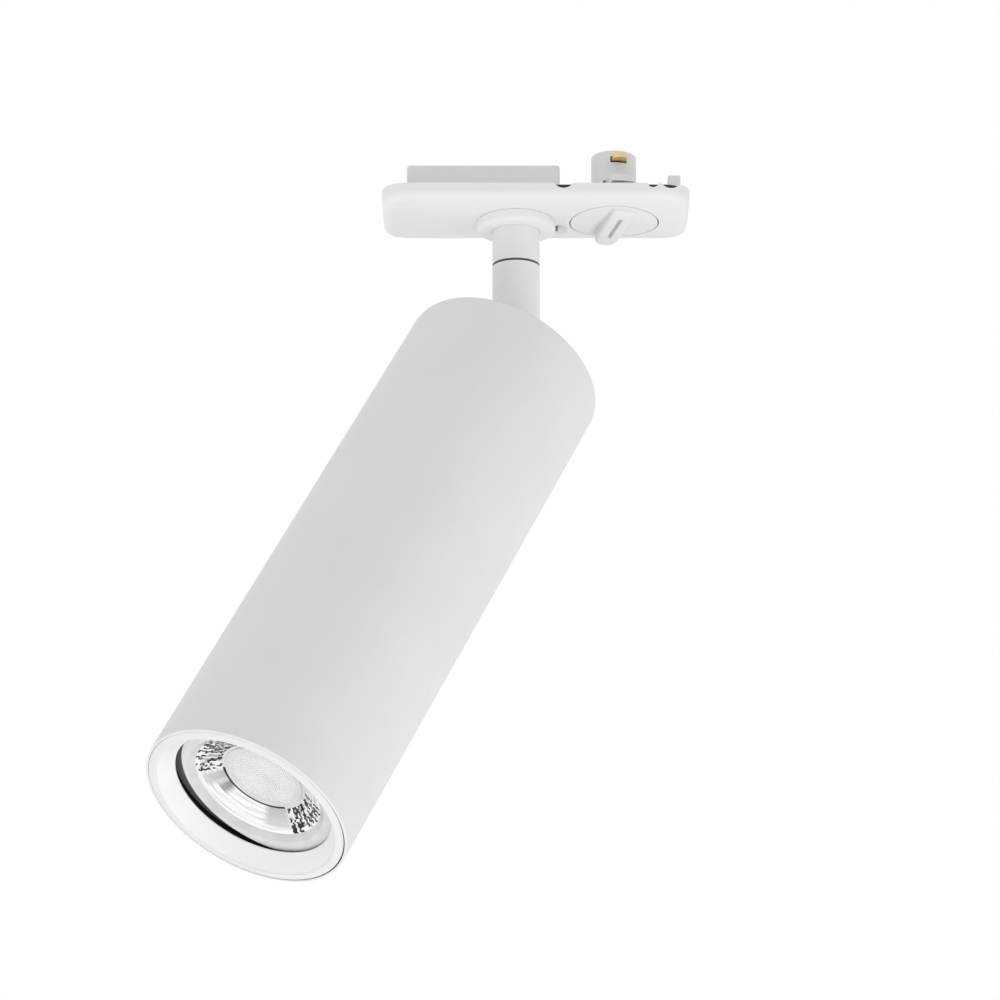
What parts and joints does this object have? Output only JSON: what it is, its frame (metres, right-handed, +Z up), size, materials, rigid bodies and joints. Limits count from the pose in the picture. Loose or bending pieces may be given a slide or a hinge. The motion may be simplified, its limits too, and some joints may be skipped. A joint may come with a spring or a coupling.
{
  "type": "track spotlight",
  "caption": "Cylindrical LED spotlight on a swivel stem, hung from a latching track adapter; the head pans and tilts and the adapter's lever locks it in the track.",
  "frame": {"origin": "where the stem's axis meets the adapter's seat face, which lies against the track", "axes": "+X along the track towards the latch lever, +Y across the track, +Z up into the track"},
  "size_m": [0.1396, 0.115, 0.2118],
  "materials": {
    "white_paint": "satin",
    "white_plastic": "satin",
    "black_plastic": "matte",
    "steel": "satin",
    "brass": "satin",
    "aluminium": "satin",
    "rubber": "matte",
    "clear_plastic": "polished",
    "led_board": "satin",
    "led_phosphor": "satin",
    "thermal_pad": "matte",
    "lead_brown": "satin",
    "lead_blue": "satin",
    "lead_green": "satin",
    "lead_red": "satin",
    "lead_black": "satin"
  },
  "bodies": {
    "adapter": {"adapter_housing": "white_plastic", "adapter_cover": "white_plastic", "cover_screw_left": "steel", "cover_screw_right": "steel", "earth_spring": "brass", "terminal_block": "white_plastic", "supply_lead_live": "lead_brown", "supply_lead_neutral": "lead_blue", "supply_lead_earth": "lead_green", "stem_flange": "white_paint", "stem_upper": "white_paint", "swivel_nipple": "steel", "nipple_washer": "steel", "nipple_locknut": "brass", "swivel_nut": "brass"},
    "latch": {"latch_dial": "white_plastic", "rotor_column": "white_plastic", "lock_wing": "steel", "live_contact": "brass", "neutral_contact": "brass", "rotor_screw": "steel"},
    "swivel": {"stem_lower": "white_paint", "friction_washer": "black_plastic", "stem_grommet": "rubber"},
    "head": {"head_tube": "white_paint", "front_bezel": "white_plastic", "collimator_lens": "clear_plastic", "lens_holder": "black_plastic", "led_board": "led_board", "led_phosphor": "led_phosphor", "thermal_pad": "thermal_pad", "led_holder": "white_plastic", "holder_screw_1": "steel", "holder_screw_2": "steel", "heat_sink": "aluminium", "driver_case": "white_plastic", "driver_bracket": "aluminium", "bracket_screw_base": "steel", "bracket_screw_side": "steel", "driver_output": "black_plastic", "driver_input": "black_plastic", "led_lead_plus": "lead_red", "led_lead_minus": "lead_black", "mains_lead_live": "lead_brown", "mains_lead_neutral": "lead_blue", "rear_cap": "white_paint", "mount_ring": "aluminium", "cap_screw_1": "steel", "cap_screw_2": "steel", "cap_screw_3": "steel", "cable_grommet": "rubber", "hinge_yoke": "white_paint", "yoke_screw_1": "steel", "yoke_screw_2": "steel", "hinge_washer_left": "black_plastic", "hinge_washer_right": "black_plastic", "hinge_bolt": "steel", "hinge_nut": "steel"}
  },
  "joints": [
    {"name": "latch", "type": "hinge", "parent": "adapter", "child": "latch", "pos_m": [0.027, 0, 0], "axis": [0, 0, 1], "range_deg": [-12, 78]},
    {"name": "pan", "type": "hinge", "parent": "adapter", "child": "swivel", "pos_m": [0, 0, -0.018], "axis": [0, 0, 1], "range_deg": [-175, 175]},
    {"name": "tilt", "type": "hinge", "parent": "swivel", "child": "head", "pos_m": [0, 0, -0.0424], "axis": [-0.7168, 0.6973, 0], "range_deg": [-34.38, 55.62]}
  ]
}
